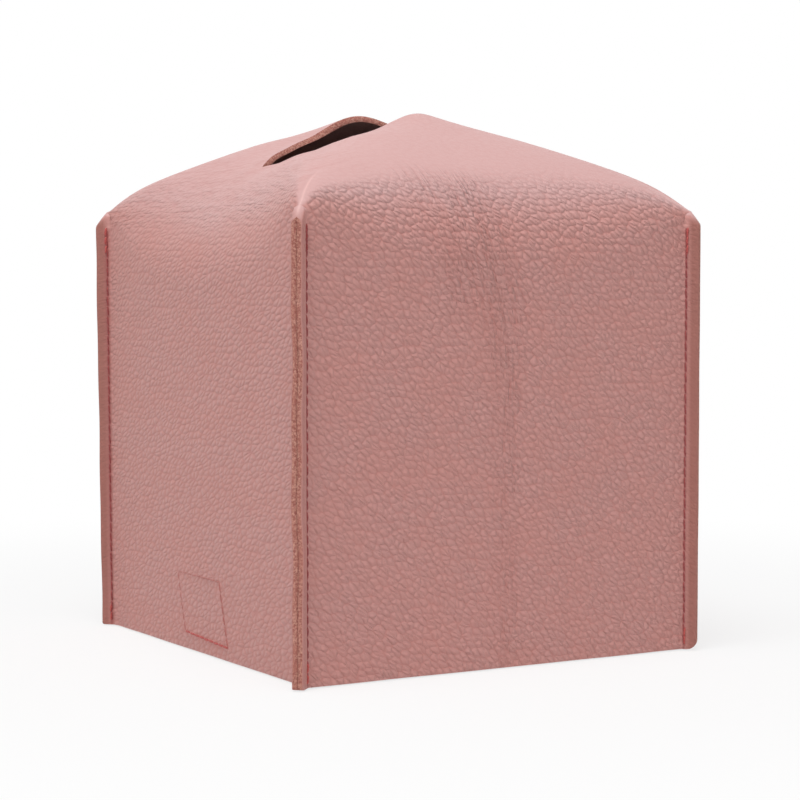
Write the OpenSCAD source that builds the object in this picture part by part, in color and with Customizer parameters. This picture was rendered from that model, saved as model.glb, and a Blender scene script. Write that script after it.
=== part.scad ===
// Soft leather cover for a cube tissue box.
// One cross-cut leather blank makes the four walls and the crown. Its wall
// edges are sewn into four standing corner fins, the crown has a leaf-shaped
// slot, and a belt and a tab close the bottom with hook and loop.
// Millimetres, +Z up, origin at the bottom centre. The slot runs along X.

/* [Cover] */
// Width of the cover across its walls, outside
cover_w = 126; // [118:1:140]
// Height of the corner seams
seam_h = 122.5; // [110:0.5:135]
// Thickness of the leather
leather_t = 1.6; // [1.2:0.1:2]
// Height of the crown's peak above the seams, before the slot is cut
crown_rise = 35; // [30:1:40]
// Fall of the crown for each length outwards
crown_slope_share = 0.28; // [0.22:0.01:0.32]

/* [Shoulders] */
// Height of each corner crease above its seam, at the wall
crease_rise = 4; // [2:0.5:6]
// Height of the side walls' fold above the corner crease
side_fold_rise = 4.4; // [3:0.2:6]
// Height of the front and back walls' fold above the corner crease
front_fold_rise = 2.2; // [1:0.2:4]
// Reach of the side shoulders inwards from the wall
side_round_in = 27; // [16:1:29]
// Reach of the side shoulders down the wall
side_round_down = 26; // [14:1:40]
// Reach of the front and back shoulders inwards from the wall
front_round_in = 12; // [6:1:24]
// Reach of the front and back shoulders down the wall
front_round_down = 19; // [8:1:40]

/* [Slot] */
// Length of the tissue slot
slot_l = 84; // [70:1:90]
// Width of the tissue slot at its middle, lips open
slot_w = 28; // [16:1:32]
// Height that the middle of each lip is curled up
lip_lift = 1.4; // [0:0.2:3]
// Depth that each half of a lip sags between its middle and its end
lip_sag = 1.2; // [0:0.2:2]
// Distance from the slot's edge at which curl and sag have died out
lip_reach = 16; // [8:1:24]

/* [Corner fins] */
// Length of a fin from the wall's crease to its cut edge
fin_reach = 4.2; // [3:0.1:6]
// Radius of a fin's bottom corner
fin_foot_r = 2.4; // [1:0.2:3]
// Width of the groove between the two layers at the cut edge
layer_gap = 0.3; // [0.2:0.05:0.5]
// Depth of the groove between the two layers
layer_gap_depth = 0.7; // [0.3:0.1:1.5]
// Radius of a fin's top corner
fin_top_r = 1.2; // [0.6:0.1:2]

/* [Stitches] */
// Distance from needle hole to needle hole
stitch_pitch = 3; // [2.4:0.1:4]
// Width of a sewn thread
thread_w = 0.6; // [0.4:0.05:0.8]
// Height of a thread above the face it is sewn on
thread_lift = 0.3; // [0.2:0.05:0.4]
// Distance from a fin's cut edge to its row of stitches
seam_inset = 3.6; // [2:0.1:3.8]
// Distance from a seam's top to its first needle hole
seam_top_gap = 1.5; // [1:0.1:5]
// Distance from the bottom edge to a seam's last needle hole
seam_foot_gap = 1.4; // [1:0.1:6]

/* [Belt] */
// Width of the belt and of the tab
belt_w = 31; // [24:1:40]
// Length of the tab from its fold to its tip
tab_l = 56; // [46:1:58]
// Radius of the corners at the tips
tip_r = 5; // [2:0.5:10]
// Clear height under the belt
belt_clear = 1.2; // [0.8:0.1:3]
// Height of the sewn-down ends above their fold
anchor_h = 22; // [18:1:30]
// Distance from an end's side edge to its box stitch
box_stitch_inset = 2; // [1.5:0.1:4]
// Height of the box stitch that holds an end to the wall
box_stitch_h = 17; // [12:1:18]
// Height of the box stitch above the fold
box_stitch_gap = 3; // [2.4:0.2:4]

/* [Hook and loop] */
// Length of each tape patch along its strap
patch_l = 24; // [16:1:26]
// Width of each tape patch
patch_w = 25; // [16:1:26]
// Distance from the tab's tip to its loop patch
patch_gap = 2; // [1.5:0.1:4]
// Distance from the belt's tip to its hook patch
belt_tip_gap = 2.4; // [1.5:0.1:6]
// Thickness of a patch's woven base
patch_base_t = 0.5; // [0.4:0.05:0.8]
// Height of the hooks and of the loops above their base
pile_h = 0.6; // [0.4:0.05:0.9]
// Plain margin round the hooks and loops, where the patch is sewn
pile_margin = 2; // [1.6:0.1:3]

/* [Hidden] */

leather_color = [0.73, 0.52, 0.49];
belt_color = [0.66, 0.45, 0.42];
thread_color = [0.58, 0.27, 0.26];
hook_color = [0.62, 0.42, 0.40];
loop_color = [0.68, 0.47, 0.45];

// Facets on small round edges
$fn = 48;
// Directions counted round one wall, and rows down the crown and the wall
directions = 22;
crown_rows = 14;
wall_rows = 2;
// Steps on a fin's rounded corner
arc_steps = 4;

// Clearance between soft pieces that face each other
soft_gap = 0.3;
// Gap between a needle thread and its bobbin thread inside the leather
lock_gap = 0.05;
// Half the width of the thread that fills a needle hole
hole_half = 0.28;
// Visible gap in a run of thread, either side of its needle hole
dip_half = 0.14;
// Slope length at a stitch's end
dip_run = 0.3;
// Depth of a stitch's surface run, and of its dip, below the face
run_sink = 0.2;
dip_sink = 0.08;

// How fast the folds drop into the corner creases
fold_power = 14;
// How fast the rounded shoulders fade out towards the corners
round_power = 3;
// How the crown's fall builds up towards the walls
side_fall_power = 0.6;
front_fall_power = 2.4;
crease_fall_power = 4.7;

half_w = cover_w / 2;
peak_z = seam_h + crown_rise;
crease_z = seam_h + crease_rise;
corner_d = half_w * sqrt(2);
// Distance of a fin's cut edge from the centre, along the diagonal
fin_tip_d = corner_d - leather_t + fin_reach;
// A fin starts within the leather of its corner
fin_root_d = corner_d - leather_t;
seam_d = fin_tip_d - seam_inset;

// Heights of the belt's fold and of the tab's fold
belt_fold_z = belt_clear + leather_t / 2;
tab_fold_z = belt_fold_z + leather_t + 2 * (patch_base_t + pile_h) + soft_gap;
// Distance of both folds from the centre
fold_x = half_w - leather_t - soft_gap - leather_t / 2;
// Middle of both patches, from the centre
patch_x = fold_x - tab_l + patch_gap + patch_l / 2;
// Length of the belt from its fold to its tip, past its patch
belt_l = fold_x + patch_x + patch_l / 2 + belt_tip_gap;
// Width of the box stitch that holds an end to the wall
box_stitch_w = belt_w - 2 * box_stitch_inset;

// Height of the fold line where a wall meets the crown. share is 0 at the
// wall's middle and 1 at its corners.
function fold_z(rise, share) =
  crease_z + rise * (1 - pow(share, fold_power));

// Height of the unrounded crown at a distance out from the middle. out_share
// is that distance as a share of the half width.
function crown_z(rise, power, share, out_share) =
  let (
    run = half_w * norm([1, share]),
    drop = peak_z - crown_slope_share * run - fold_z(rise, share),
    p = power + (crease_fall_power - power) * share * share
  )
  peak_z - crown_slope_share * run * out_share - drop * pow(out_share, p);

// Distance from the centre plane to the slot's edge along a side direction,
// and along a front direction. The slot's edge is two parabolas.
function slot_side_a(share) =
  let (curve = 2 * slot_w / (slot_l * slot_l))
  (sqrt(share * share + 2 * slot_w * curve) - share) / (2 * curve);
function slot_front_a(share) =
  let (curve = 2 * slot_w * share * share / (slot_l * slot_l))
  share == 0 ? slot_w / 2 : (sqrt(1 + 2 * slot_w * curve) - 1) / (2 * curve);

// Height of the cover's outside at a distance out from the middle: the crown,
// and then a round shoulder that ends on the wall
function outside_z(side, share, out) =
  let (
    rise = side ? side_fold_rise : front_fold_rise,
    power = side ? side_fall_power : front_fall_power,
    fade = 1 - pow(share, round_power),
    round_in = leather_t / 2 + (side ? side_round_in : front_round_in) * fade,
    round_down = (side ? side_round_down : front_round_down) * fade,
    left = min(1, (half_w - out) / round_in),
    s = 1 - sqrt(left),
    knee_z = fold_z(rise, share),
    above_z = crown_z(rise, power, share, 1 - round_in / half_w)
  )
  out < half_w - round_in ? crown_z(rise, power, share, out / half_w) :
  above_z * (1 - s) * (1 - s) + knee_z * 2 * s * (1 - s) + (knee_z - round_down) * s * s;

// Profile from the slot's edge over the shoulder to the bottom edge, as
// [distance out, height] pairs, closest together at the shoulder
function profile(side, share) =
  let (
    from = side ? slot_side_a(share) : slot_front_a(share),
    along = (side ? 1 : share) * from / (slot_l / 2),
    lip = lip_lift * pow(1 - along, 2) - lip_sag * 4 * along * (1 - along),
    crown = [for (i = [0 : crown_rows])
      let (
        out = half_w - (half_w - from) * pow(1 - i / crown_rows, 2),
        fade = pow(max(0, 1 - (out - from) / lip_reach), 2)
      )
      [out, outside_z(side, share, out) + lip * fade]]
  )
  concat(
    crown,
    [for (i = [1 : wall_rows])
      [half_w, crown[crown_rows][1] * (1 - i / wall_rows)]]
  );

// The same profile moved in by the leather's thickness
function inner_profile(p) =
  let (last = len(p) - 1)
  [for (i = [0 : last])
    let (
      d = p[min(i + 1, last)] - p[max(i - 1, 0)],
      n = [-d[1], d[0]] / norm(d)
    )
    i == last ? p[i] - [leather_t, 0] : p[i] - n * leather_t];

// Directions round the cover, as [wall number, share across that wall]
wall_shares = [for (i = [0 : directions - 1]) sin(180 * i / directions - 90)];
sweep = [for (wall = [0 : 3]) for (s = wall_shares) [wall, s]];

function turned(wall, x, y) =
  wall == 0 ? [x, y] : wall == 1 ? [-y, x] : wall == 2 ? [-x, -y] : [y, -x];

// Points of one surface, a column for each direction
function skin_points(inside) =
  [for (d = sweep)
    let (
      p = profile(d[0] % 2 == 0, abs(d[1])),
      q = inside ? inner_profile(p) : p
    )
    for (c = q) concat(turned(d[0], c[0], c[0] * d[1]), [c[1]])];

module leather_skin() {
  outer = skin_points(false);
  inner = skin_points(true);
  columns = len(sweep);
  rows = len(outer) / columns;
  base = len(outer);
  function at(c, r) = (c % columns) * rows + r;
  faces = concat(
    [for (c = [0 : columns - 1]) for (r = [0 : rows - 2])
      each [[at(c, r), at(c + 1, r), at(c + 1, r + 1)],
            [at(c, r), at(c + 1, r + 1), at(c, r + 1)]]],
    [for (c = [0 : columns - 1]) for (r = [0 : rows - 2])
      each [[base + at(c, r), base + at(c + 1, r + 1), base + at(c + 1, r)],
            [base + at(c, r), base + at(c, r + 1), base + at(c + 1, r + 1)]]],
    [for (c = [0 : columns - 1])
      each [[at(c, 0), base + at(c, 0), base + at(c + 1, 0)],
            [at(c, 0), base + at(c + 1, 0), at(c + 1, 0)]]],
    [for (c = [0 : columns - 1])
      each [[at(c, rows - 1), at(c + 1, rows - 1), base + at(c + 1, rows - 1)],
            [at(c, rows - 1), base + at(c + 1, rows - 1), base + at(c, rows - 1)]]]
  );
  polyhedron(points = concat(outer, inner), faces = faces);
}

// Side outline of a fin, along its diagonal and up. Its top edge falls from
// the corner crease to the cut edge.
function fin_outline() = concat(
  [[fin_root_d, 0]],
  [for (i = [0 : arc_steps]) let (a = 90 * i / arc_steps - 90)
    [fin_tip_d - fin_foot_r + fin_foot_r * cos(a), fin_foot_r + fin_foot_r * sin(a)]],
  [for (i = [0 : arc_steps]) let (a = 90 * i / arc_steps)
    [fin_tip_d - fin_top_r + fin_top_r * cos(a), seam_h - fin_top_r + fin_top_r * sin(a)]],
  [[corner_d, crease_z], [fin_root_d, crease_z]]
);

module fin() {
  difference() {
    rotate([90, 0, 0])
      linear_extrude(2 * leather_t, center = true)
        polygon(fin_outline());
    translate([fin_tip_d - layer_gap_depth, -layer_gap / 2, -soft_gap])
      cube([fin_reach, layer_gap, seam_h + soft_gap]);
  }
}

module leather_cover() {
  color(leather_color)
    union() {
      leather_skin();
      for (corner = [0 : 3])
        rotate([0, 0, 90 * corner + 45])
          fin();
    }
}

// Side outline of a sewn thread: it runs on the face and dips into every
// needle hole, down to where it locks with the thread of the other face
function thread_outline(length, dive) =
  let (n = max(1, round(length / stitch_pitch)), step = length / n)
  concat(
    [[-hole_half, -dive], [-hole_half, -dip_sink]],
    [for (i = [0 : n - 1]) each [
      [i * step + dip_half, -dip_sink],
      [i * step + dip_half + dip_run, thread_lift],
      [(i + 1) * step - dip_half - dip_run, thread_lift],
      [(i + 1) * step - dip_half, -dip_sink]]],
    [[length + hole_half, -dip_sink], [length + hole_half, -dive]],
    [for (i = [n - 1 : -1 : 0]) each [
      [(i + 1) * step - hole_half, -dive],
      [(i + 1) * step - hole_half, -run_sink],
      [i * step + hole_half, -run_sink],
      [i * step + hole_half, -dive]]]
  );

// A straight row of stitches along X, on a face that looks up
module stitch_row(length, dive) {
  rotate([90, 0, 0])
    linear_extrude(thread_w, center = true)
      polygon(thread_outline(length, dive));
}

// A closed box of stitches round the origin, on a face that looks up
module stitch_box(size_x, size_y, dive) {
  for (side = [-1, 1]) {
    translate([-size_x / 2, side * size_y / 2, 0])
      stitch_row(size_x, dive);
    translate([side * size_x / 2, -size_y / 2, 0])
      rotate([0, 0, 90])
        stitch_row(size_y, dive);
  }
}

// One thread of a corner seam. corner counts from back right, face is the
// side of the fin that the thread shows on.
module seam_thread(corner, face) {
  color(thread_color)
    rotate([0, 0, 90 * corner + 45])
      translate([seam_d, face * leather_t, seam_foot_gap])
        rotate([-90 * face, -90, 0])
          stitch_row(seam_h - seam_top_gap - seam_foot_gap, leather_t - lock_gap);
}

// Places the sewn-down end of a strap. side is -1 for the belt's wall.
module at_wall(side, fold) {
  translate([side * (half_w - leather_t), 0, fold])
    children();
}

module anchor(side, fold) {
  color(belt_color)
    at_wall(side, fold)
      translate([-(side + 1) * leather_t / 2, -belt_w / 2, leather_t / 2 + soft_gap])
        cube([leather_t, belt_w, anchor_h]);
}

// The box stitch through a wall and a strap's end. out is 1 on the outside.
module anchor_thread(side, fold, out) {
  depth = out == 1 ? leather_t : -leather_t;
  color(thread_color)
    at_wall(side, fold)
      translate([side * depth, 0, box_stitch_gap + box_stitch_h / 2])
        rotate([0, 90 * side * out, 0])
          stitch_box(box_stitch_h, box_stitch_w, leather_t - lock_gap);
}

// A strap that lies flat, from its round folded end at the origin to its tip
module strap(length) {
  rotate([90, 0, 0])
    cylinder(d = leather_t, h = belt_w, center = true);
  translate([0, -belt_w / 2, -leather_t / 2])
    cube([length - tip_r, belt_w, leather_t]);
  translate([length - tip_r, -belt_w / 2 + tip_r, -leather_t / 2])
    cube([tip_r, belt_w - 2 * tip_r, leather_t]);
  for (side = [-1, 1])
    translate([length - tip_r, side * (belt_w / 2 - tip_r), -leather_t / 2])
      cylinder(r = tip_r, h = leather_t);
}

// A tape patch that lies on a face which looks up
module patch() {
  translate([-patch_l / 2, -patch_w / 2, 0])
    cube([patch_l, patch_w, patch_base_t]);
  translate([pile_margin - patch_l / 2, pile_margin - patch_w / 2, 0])
    cube([patch_l - 2 * pile_margin, patch_w - 2 * pile_margin, patch_base_t + pile_h]);
}

module patch_needle_thread() {
  translate([0, 0, patch_base_t])
    stitch_box(patch_l - pile_margin, patch_w - pile_margin, patch_dive());
}

module patch_bobbin_thread() {
  translate([0, 0, -leather_t])
    rotate([180, 0, 0])
      stitch_box(patch_l - pile_margin, patch_w - pile_margin, patch_dive());
}

function patch_dive() = (leather_t + patch_base_t) / 2 - lock_gap;

// Places what is sewn on the belt's upper face, and on the tab's lower face
module on_belt() {
  translate([patch_x, 0, belt_fold_z + leather_t / 2])
    children();
}

module on_tab() {
  translate([patch_x, 0, tab_fold_z - leather_t / 2])
    rotate([180, 0, 0])
      children();
}

module belt_strap() {
  color(belt_color)
    translate([-fold_x, 0, belt_fold_z])
      strap(belt_l);
}

module tab_strap() {
  color(belt_color)
    translate([fold_x, 0, tab_fold_z])
      rotate([0, 0, 180])
        strap(tab_l);
}

module hook_patch() {
  color(hook_color)
    on_belt() patch();
}

module loop_patch() {
  color(loop_color)
    on_tab() patch();
}

leather_cover();
seam_thread(2, 1);  // front_left_needle_thread
seam_thread(2, -1);  // front_left_bobbin_thread
seam_thread(3, -1);  // front_right_needle_thread
seam_thread(3, 1);  // front_right_bobbin_thread
seam_thread(0, 1);  // back_right_needle_thread
seam_thread(0, -1);  // back_right_bobbin_thread
seam_thread(1, -1);  // back_left_needle_thread
seam_thread(1, 1);  // back_left_bobbin_thread
anchor(-1, belt_fold_z);  // belt_anchor
anchor_thread(-1, belt_fold_z, 1);  // belt_anchor_needle_thread
anchor_thread(-1, belt_fold_z, -1);  // belt_anchor_bobbin_thread
anchor(1, tab_fold_z);  // tab_anchor
anchor_thread(1, tab_fold_z, 1);  // tab_anchor_needle_thread
anchor_thread(1, tab_fold_z, -1);  // tab_anchor_bobbin_thread
belt_strap();
hook_patch();
color(thread_color) on_belt() patch_needle_thread();  // hook_patch_needle_thread
color(thread_color) on_belt() patch_bobbin_thread();  // hook_patch_bobbin_thread
tab_strap();
loop_patch();
color(thread_color) on_tab() patch_needle_thread();  // loop_patch_needle_thread
color(thread_color) on_tab() patch_bobbin_thread();  // loop_patch_bobbin_thread
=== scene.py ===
"""Looks of the soft leather tissue box cover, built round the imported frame.

Metres, +Z up, slot along X, front wall at -Y. The leather is one closed sheet
with a thickness: grain side out, suede side in, and bare cut edges.
"""

import random
from math import cos, pi, radians, sin, sqrt, tan

import bmesh
import bpy
import numpy as np
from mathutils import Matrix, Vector, noise


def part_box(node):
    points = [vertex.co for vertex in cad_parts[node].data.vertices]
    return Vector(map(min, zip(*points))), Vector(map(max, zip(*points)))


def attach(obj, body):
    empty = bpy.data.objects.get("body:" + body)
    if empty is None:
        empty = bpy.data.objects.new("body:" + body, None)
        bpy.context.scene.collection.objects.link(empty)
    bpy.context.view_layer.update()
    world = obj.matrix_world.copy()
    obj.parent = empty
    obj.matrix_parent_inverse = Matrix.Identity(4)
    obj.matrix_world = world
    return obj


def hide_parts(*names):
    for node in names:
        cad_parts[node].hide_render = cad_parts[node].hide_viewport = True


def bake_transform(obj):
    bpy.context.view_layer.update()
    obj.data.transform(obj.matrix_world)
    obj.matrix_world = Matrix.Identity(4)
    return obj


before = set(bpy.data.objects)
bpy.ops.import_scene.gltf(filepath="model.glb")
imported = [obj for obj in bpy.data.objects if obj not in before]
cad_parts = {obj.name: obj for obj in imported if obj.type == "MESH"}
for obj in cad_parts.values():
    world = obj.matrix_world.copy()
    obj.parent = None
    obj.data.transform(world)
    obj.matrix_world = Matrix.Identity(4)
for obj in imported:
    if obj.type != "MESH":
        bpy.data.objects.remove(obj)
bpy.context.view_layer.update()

MM = 0.001
ROOT2 = sqrt(2)

# The leather and its corner fins
belt_low, belt_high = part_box("belt_strap")
LEATHER = belt_high.z - belt_low.z
FIN_REACH = 4.2 * MM
HALF_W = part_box("leather_cover")[1].x - FIN_REACH / ROOT2
SEAM_H = 122.5 * MM
PEAK_Z = SEAM_H + 35 * MM
CREASE_Z = SEAM_H + 4 * MM
CORNER_D = HALF_W * ROOT2
FIN_TIP_D = CORNER_D - LEATHER + FIN_REACH
FIN_TOP_R = 0.25 * MM
FIN_SLOPE_REACH = 25 * MM
FILLET_TANGENT = 0.9 * MM * tan(pi / 8)
EDGE_ROUND = 0.3 * MM
GROOVE_HALF = 0.12 * MM
GROOVE_DEPTH = 0.35 * MM
GROOVE_BULGE = 0.05 * MM
GROOVE_LIP = 0.04 * MM

# Points of half a fin's section: fillet, flat side and edge. The bare edge follows.
FILLET_STEPS = (0.25, 0.5, 0.75, 1.0)
FIN_SIDE_SHARES = (0.12, 0.3, 0.55, 0.8)
FIN_EDGE_TURNS = (0, 30, 60, 90)
FIN_BARE_FROM = len(FILLET_STEPS + FIN_SIDE_SHARES + FIN_EDGE_TURNS)

# The crown's fall and the shoulders: rise of the fold above the crease, reach
# inwards, reach down the wall, and how the crown's fall builds up
CROWN_SLOPE = 0.28
SIDE = dict(rise=4.4 * MM, inwards=27 * MM, down=26 * MM, power=0.6)
FRONT = dict(rise=2.2 * MM, inwards=12 * MM, down=19 * MM, power=2.4)
FOLD_POWER = 14
ROUND_POWER = 3
CREASE_POWER = 4.7
SMOOTH_PASSES = 20

# The slot and its two lips. Each lip bends up or down by the sum of its
# waves: centre and width as shares of half the slot, and height.
SLOT_L = 84 * MM
SLOT_W = 28 * MM
SLOT_POWER = 0.86
SLOT_HALVINGS = 40
LIP_REACH = 17 * MM
LIP_END_POWER = 8
NEAR_LIP = ((-0.92, 0.07, -1.2 * MM), (-0.64, 0.12, -0.9 * MM), (-0.38, 0.25, -3.7 * MM),
            (0.02, 0.16, 1.2 * MM), (0.55, 0.22, -1.5 * MM))
FAR_LIP = ((-0.90, 0.14, 1.2 * MM), (-0.46, 0.17, -2.2 * MM), (-0.04, 0.20, 1.6 * MM),
           (0.40, 0.25, -1.8 * MM))

# The crown's suede side: how deep it lies, how it is drawn in at the lips and the
# walls, and how the far lip's left half is rolled, so that its edge looks thin
CROWN_DEEPER = 1.08
LIP_SKEW = 0.7 * MM
SKEW_LIMIT_SHARE = 0.6
TUCK_REACH = 6 * LEATHER
ROLL_SKEW = 0.6 * MM
ROLL_THINNER = 0.42
ROLL_REACH = 6 * MM
ROLL_END_SHARE = -0.25
ROLL_STEP_SHARE = 0.3
EDGE_BULGE = 0.18 * MM

# Counts of the sheet's rows and columns, and shares across the slot's cut edge
WALL_COLUMNS = 132
WALL_ROWS = 150
CROWN_ROWS = 84
INNER_WALL_ROWS = 40
EDGE_SHARES = (0.08, 0.3, 0.5, 0.7, 0.92)

# The sheet's materials, by their numbers
GRAIN_SIDE, BARE, SUEDE = 0, 1, 2

# Walls in order from the one at +X. The grain's cells are wider and taller by
# these factors, mirrored below 0, and taken one step further on for each wall.
WALLS = (SIDE, FRONT, SIDE, FRONT)
WIDEN = (-1.4, 1.0, -1.4, 1.0)
TALLER = (0.75, 0.87, 0.75, 0.87)
WALL_STEP = 1.0

# Corners in order round the cover. Corner 0 lies between walls 0 and 1.
CORNERS = ("back_right", "back_left", "front_left", "front_right")
BACK_LEFT = CORNERS.index("back_left")
FRONT_LEFT = CORNERS.index("front_left")
# Each fin's round foot, how far its crease sags, and the sag's reach in and out
FOOT_R = MM * np.array([2.0, 0.6, 0.5, 2.6])
CREASE_DROP = MM * np.array([1.2, 0.5, 1.0, 1.05])
DROP_REACH = MM * np.array([7, 8, 2.2, 9])
DROP_OUT = MM * np.array([1.5, 1.5, 1.5, 3.4])
DROP_INSET = 1.1 * MM

# Soft bends: the belt's pull on the left wall, the fins' waves (height, length,
# share of the phase), the back left fin's lean, the front's folds (middle, width,
# height), the crown's front left ridge and dent, its crests, and small unevenness
PULL = 1.5 * MM
PULL_SLANT = 0.8 * MM
PULL_HEIGHT = 40 * MM
FIN_WAVES = ((0.16 * MM, 9 * MM, 3), (0.14 * MM, 4.1 * MM, 5))
FIN_LEAN = 1.2 * MM
FIN_LEAN_SHARE = 0.35
FRONT_FOLDS = ((1.5 * MM, 6 * MM, 0.22 * MM), (15 * MM, 8 * MM, -0.154 * MM))
RIDGE = 1 * MM
DENT = 1.5 * MM
CREST = 0.1 * MM
ROUGH = 0.12 * MM
ROUGH_PER_M = 45

# How deep the leather's grain is, and by how much more or less in some places
GRAIN_DEPTH = 0.7
FRONT_DEEPER = 0.15
FRONT_SHOULDER_DEEPER = 0.05
TOP_SHALLOWER = 0.85
FIN_SHALLOWER = 0.6
SIDE_SHALLOWER = 0.12
SIDE_SHOULDER_SHALLOWER = 0.3

# Stitches
THREAD_R = 0.26 * MM
STITCH = 3 * MM
SEAM_INSET = 3.6 * MM
SEAM_FOOT = 1.4 * MM
SEAM_TOP = 1.5 * MM
SEAM_STRETCH = 0.9 * MM
SEAM_SHIFT = 0.5 * MM
WOBBLE = 0.06 * MM
RINGS = 13
RING_SIDES = 8
SINGLE = dict(lift=0.12 * MM, sink=0.22 * MM, slant=0.12 * MM, radius=0.24 * MM)
DOUBLED = dict(lift=0.24 * MM, sink=0.2 * MM, slant=-0.12 * MM, radius=0.3 * MM)
DOUBLED_SHARE = 0.85
BOLD_LIFT = 1.6
BOLD_RADIUS = 1.5


def smooth(value):
    """A soft step from 0 to 1."""
    value = np.clip(value, 0, 1)
    return value * value * (3 - 2 * value)


def rising(value, start, reach):
    """A soft step, 0 up to the start and 1 from a reach beyond it."""
    return smooth((value - start) / reach)


def falling(value, end, reach):
    """A soft step down, 1 up to a reach before the end and 0 from the end."""
    return smooth((end - value) / reach)


def hump(away, width):
    """A bell-shaped rise, 1 in its middle."""
    return np.exp(-(away / width) ** 2)


def curve(first, pull, last, s):
    """A place on the curve from first to last that is drawn towards pull."""
    return first * (1 - s) ** 2 + pull * 2 * s * (1 - s) + last * s * s


def corner_pull(distance, radius):
    """How far an edge draws in, near the end of a shape with round corners."""
    inside = np.clip(1 - distance / radius, 0, 1)
    return radius * (1 - np.sqrt(1 - inside ** 2))


def places(*parts):
    """Points from their three coordinates."""
    return np.stack(np.broadcast_arrays(*parts), -1)


def to_corner(x, y):
    """How far out a place is along its corner's diagonal, and how far beside it."""
    return (abs(x) + abs(y)) / ROOT2, abs(abs(x) - abs(y)) / ROOT2


def nearest_corner(x, y):
    """Each place's corner, as its number in CORNERS."""
    return np.where(y < 0, 3 - (x < 0), 1 * (x < 0))


def fold_height(rise, share):
    """Height of the fold between wall and crown, along the wall."""
    return CREASE_Z + rise * (1 - share ** FOLD_POWER)


def crown_height(wall, share, out_share):
    """Height of the plain crown, which falls from its peak to the fold."""
    run = HALF_W * np.sqrt(1 + share ** 2)
    drop = PEAK_Z - CROWN_SLOPE * run - fold_height(wall["rise"], share)
    power = wall["power"] + (CREASE_POWER - wall["power"]) * share ** 2
    return PEAK_Z - CROWN_SLOPE * run * out_share - drop * out_share ** power


def outside_height(wall, share, out):
    """Height of the leather's outside: the crown, then a round shoulder."""
    fade = 1 - share ** ROUND_POWER
    inwards = LEATHER / 2 + wall["inwards"] * fade
    knee = fold_height(wall["rise"], share)
    s = 1 - np.sqrt(np.clip((HALF_W - out) / inwards, 0, 1))
    above = crown_height(wall, share, 1 - inwards / HALF_W)
    shoulder = curve(above, knee, knee - wall["down"] * fade, s)
    crown = crown_height(wall, share, np.minimum(out, HALF_W - inwards) / HALF_W)
    return np.where(out < HALF_W - inwards, crown, shoulder)


def wall_top(wall, share):
    """Height at which the round shoulder has come down onto the flat wall."""
    return fold_height(wall["rise"], share) - wall["down"] * (1 - share ** ROUND_POWER)


def slot_half_width(x):
    return SLOT_W / 2 * np.clip(1 - (x / (SLOT_L / 2)) ** 2, 0, 1) ** SLOT_POWER


def slot_edge(wall, share):
    """Distance out to the leaf-shaped slot's edge, along each direction."""
    near, far = np.zeros_like(share), np.full_like(share, SLOT_L / 2)
    for _ in range(SLOT_HALVINGS):
        out = (near + far) / 2
        x, y = (out, out * share) if wall is SIDE else (out * share, out)
        inside = y < slot_half_width(x)
        near, far = np.where(inside, out, near), np.where(inside, far, out)
    return far


def smooth_rows(values, passes):
    """Takes small kinks out of columns of values, with their ends kept."""
    for _ in range(passes):
        values[1:-1] = (values[:-2] + 2 * values[1:-1] + values[2:]) / 4
    return values


def lip_offset(x, y):
    """How far the slot's edge is bent up at a place on it."""
    along = x / (SLOT_L / 2)
    total = np.zeros_like(x)
    for waves, chosen in ((NEAR_LIP, y < 0), (FAR_LIP, y >= 0)):
        for centre, width, height in waves:
            total += chosen * height * hump(along - centre, width)
    return total * (1 - np.clip(abs(along), 0, 1) ** LIP_END_POWER)


def quarter_turn(quarters, x, y):
    """A place turned about Z by quarters of a turn."""
    return ((x, y), (-y, x), (-x, -y), (y, -x))[quarters % 4]


def belt_pull(x, y, z):
    """How far the belt pulls the foot of the left wall in."""
    foot = np.clip(1 - z / PULL_HEIGHT, 0, 1) ** 2
    beside_fin = falling(abs(y), HALF_W - 1.2 * MM, 4 * MM)
    return rising(-x, 30 * MM, 28 * MM) * foot * beside_fin * (PULL - PULL_SLANT * y / HALF_W)


def fin_sway(x, y, z):
    """How far each fin waves sideways, and how far the back left one leans out."""
    at_corner = (abs(x) > 50 * MM) * (abs(y) > 50 * MM)
    reach = np.clip((to_corner(x, y)[0] - CORNER_D + LEATHER) / FIN_REACH, 0, 1) * at_corner
    phase = 1.7 * np.sign(x) + 0.9 * np.sign(y)
    wave = sum(height * np.sin(z / length + share * phase) for height, length, share in FIN_WAVES)
    wave *= falling(z, SEAM_H, 12 * MM) * rising(z, 0, 8 * MM)
    lean = (nearest_corner(x, y) == BACK_LEFT) * FIN_LEAN * (z / SEAM_H - FIN_LEAN_SHARE)
    return reach * wave, reach * lean


def front_fold(x, y, z):
    """How far the front wall's shallow upright folds stand in or out."""
    height = rising(z, 0, 30 * MM) * falling(z, PEAK_Z, 60 * MM)
    front = rising(-y, 52 * MM, 8 * MM) * falling(abs(x), HALF_W, 20 * MM)
    return front * height * sum(rise * hump(x - middle, width) for middle, width, rise in FRONT_FOLDS)


def crown_sag(x, y, z):
    """How far the crown rises. It sags beside each fin, to run straight into it."""
    diagonal, aside = to_corner(x, y)
    corner = nearest_corner(x, y)
    from_knee = diagonal - CORNER_D + DROP_INSET
    reach = np.where(from_knee > 0, DROP_OUT[corner], DROP_REACH[corner])
    knee = CREASE_DROP[corner] * hump(from_knee, reach) * hump(aside, 12 * MM)
    ridge = hump(diagonal - CORNER_D + 9 * MM, 7 * MM) * hump(aside, 6 * MM) * (corner == FRONT_LEFT)
    dent = hump(x + 34 * MM, 10 * MM) * hump(y + 23 * MM, 13 * MM)
    return rising(z, 100 * MM, 20 * MM) * (RIDGE * ridge - knee - DENT * dent)


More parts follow.
